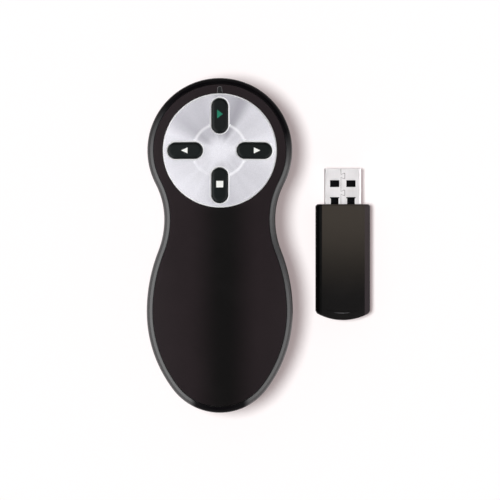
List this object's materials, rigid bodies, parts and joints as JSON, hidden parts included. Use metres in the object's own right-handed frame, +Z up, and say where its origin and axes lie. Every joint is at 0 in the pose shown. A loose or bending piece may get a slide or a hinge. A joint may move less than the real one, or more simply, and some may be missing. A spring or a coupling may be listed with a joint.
{
  "type": "wireless presentation clicker",
  "caption": "Hourglass handset with pill buttons on a round plate, a battery door and a tail bay for the USB plug-in receiver that lies beside it.",
  "frame": {"origin": "on the resting plane under the handset's middle, on the flat underside of its battery door", "axes": "+Y towards the handset's head, +Z up out of the buttons, +X towards the receiver that lies beside it"},
  "size_m": [0.0726, 0.1086, 0.0283],
  "materials": {
    "soft_touch_black": "soft-touch matte",
    "gloss_black": "gloss",
    "black_plastic": "fine texture",
    "silver_paint": "metallic silver paint",
    "button_black": "satin",
    "smoke_lens": "clear smoke",
    "circuit_board": "solder resist",
    "chip_black": "moulded",
    "plunger_plastic": "moulded",
    "lamp_white": "moulded",
    "nickel": "bright nickel",
    "zinc_steel": "zinc plated",
    "cell_wrap": "printed sleeve",
    "gold": "gilt"
  },
  "bodies": {
    "handset": {"bottom_housing": "gloss_black", "top_cover": "soft_touch_black", "indicator_lens": "smoke_lens", "button_plate": "silver_paint", "main_board": "circuit_board", "indicator_lamp": "lamp_white", "control_chip": "chip_black", "radio_chip": "chip_black", "crystal": "nickel", "antenna": "nickel", "board_screws": "zinc_steel", "housing_screws": "zinc_steel", "battery_left": "cell_wrap", "battery_right": "cell_wrap", "front_positive_contact": "nickel", "front_negative_contact": "nickel", "back_bridge_contact": "nickel", "receiver_bay": "black_plastic", "retaining_spring": "nickel", "detect_switch": "chip_black", "start_switch": "chip_black", "stop_switch": "chip_black", "back_switch": "chip_black", "forward_switch": "chip_black"},
    "start_key": {"start_button": "button_black", "start_plunger": "plunger_plastic"},
    "stop_key": {"stop_button": "button_black", "stop_plunger": "plunger_plastic"},
    "back_key": {"back_button": "button_black", "back_plunger": "plunger_plastic"},
    "forward_key": {"forward_button": "button_black", "forward_plunger": "plunger_plastic"},
    "detector": {"detect_plunger": "plunger_plastic"},
    "door": {"battery_door": "black_plastic"},
    "receiver": {"receiver_top": "black_plastic", "receiver_bottom": "black_plastic", "usb_shell": "nickel", "usb_tongue": "chip_black", "usb_contacts": "gold", "receiver_board": "circuit_board", "receiver_chip": "chip_black", "receiver_crystal": "nickel"}
  },
  "joints": [
    {"name": "start_press", "type": "slide", "parent": "handset", "child": "start_key", "axis": [0, 0, -1], "range_m": [0, 0.0005], "stiffness_N_per_m": 1500},
    {"name": "stop_press", "type": "slide", "parent": "handset", "child": "stop_key", "axis": [0, 0, -1], "range_m": [0, 0.0005], "stiffness_N_per_m": 1500},
    {"name": "back_press", "type": "slide", "parent": "handset", "child": "back_key", "axis": [0, 0, -1], "range_m": [0, 0.0005], "stiffness_N_per_m": 1500},
    {"name": "forward_press", "type": "slide", "parent": "handset", "child": "forward_key", "axis": [0, 0, -1], "range_m": [0, 0.0005], "stiffness_N_per_m": 1500},
    {"name": "detect_press", "type": "slide", "parent": "handset", "child": "detector", "axis": [0, 1, 0], "range_m": [0, 0.0012], "stiffness_N_per_m": 400},
    {"name": "door_slide", "type": "slide", "parent": "handset", "child": "door", "axis": [0, -1, 0], "range_m": [0, 0.056]},
    {"name": "receiver_lift", "type": "slide", "parent": "handset", "child": "receiver", "axis": [0, 0, 1], "range_m": [0, 0.06]}
  ]
}
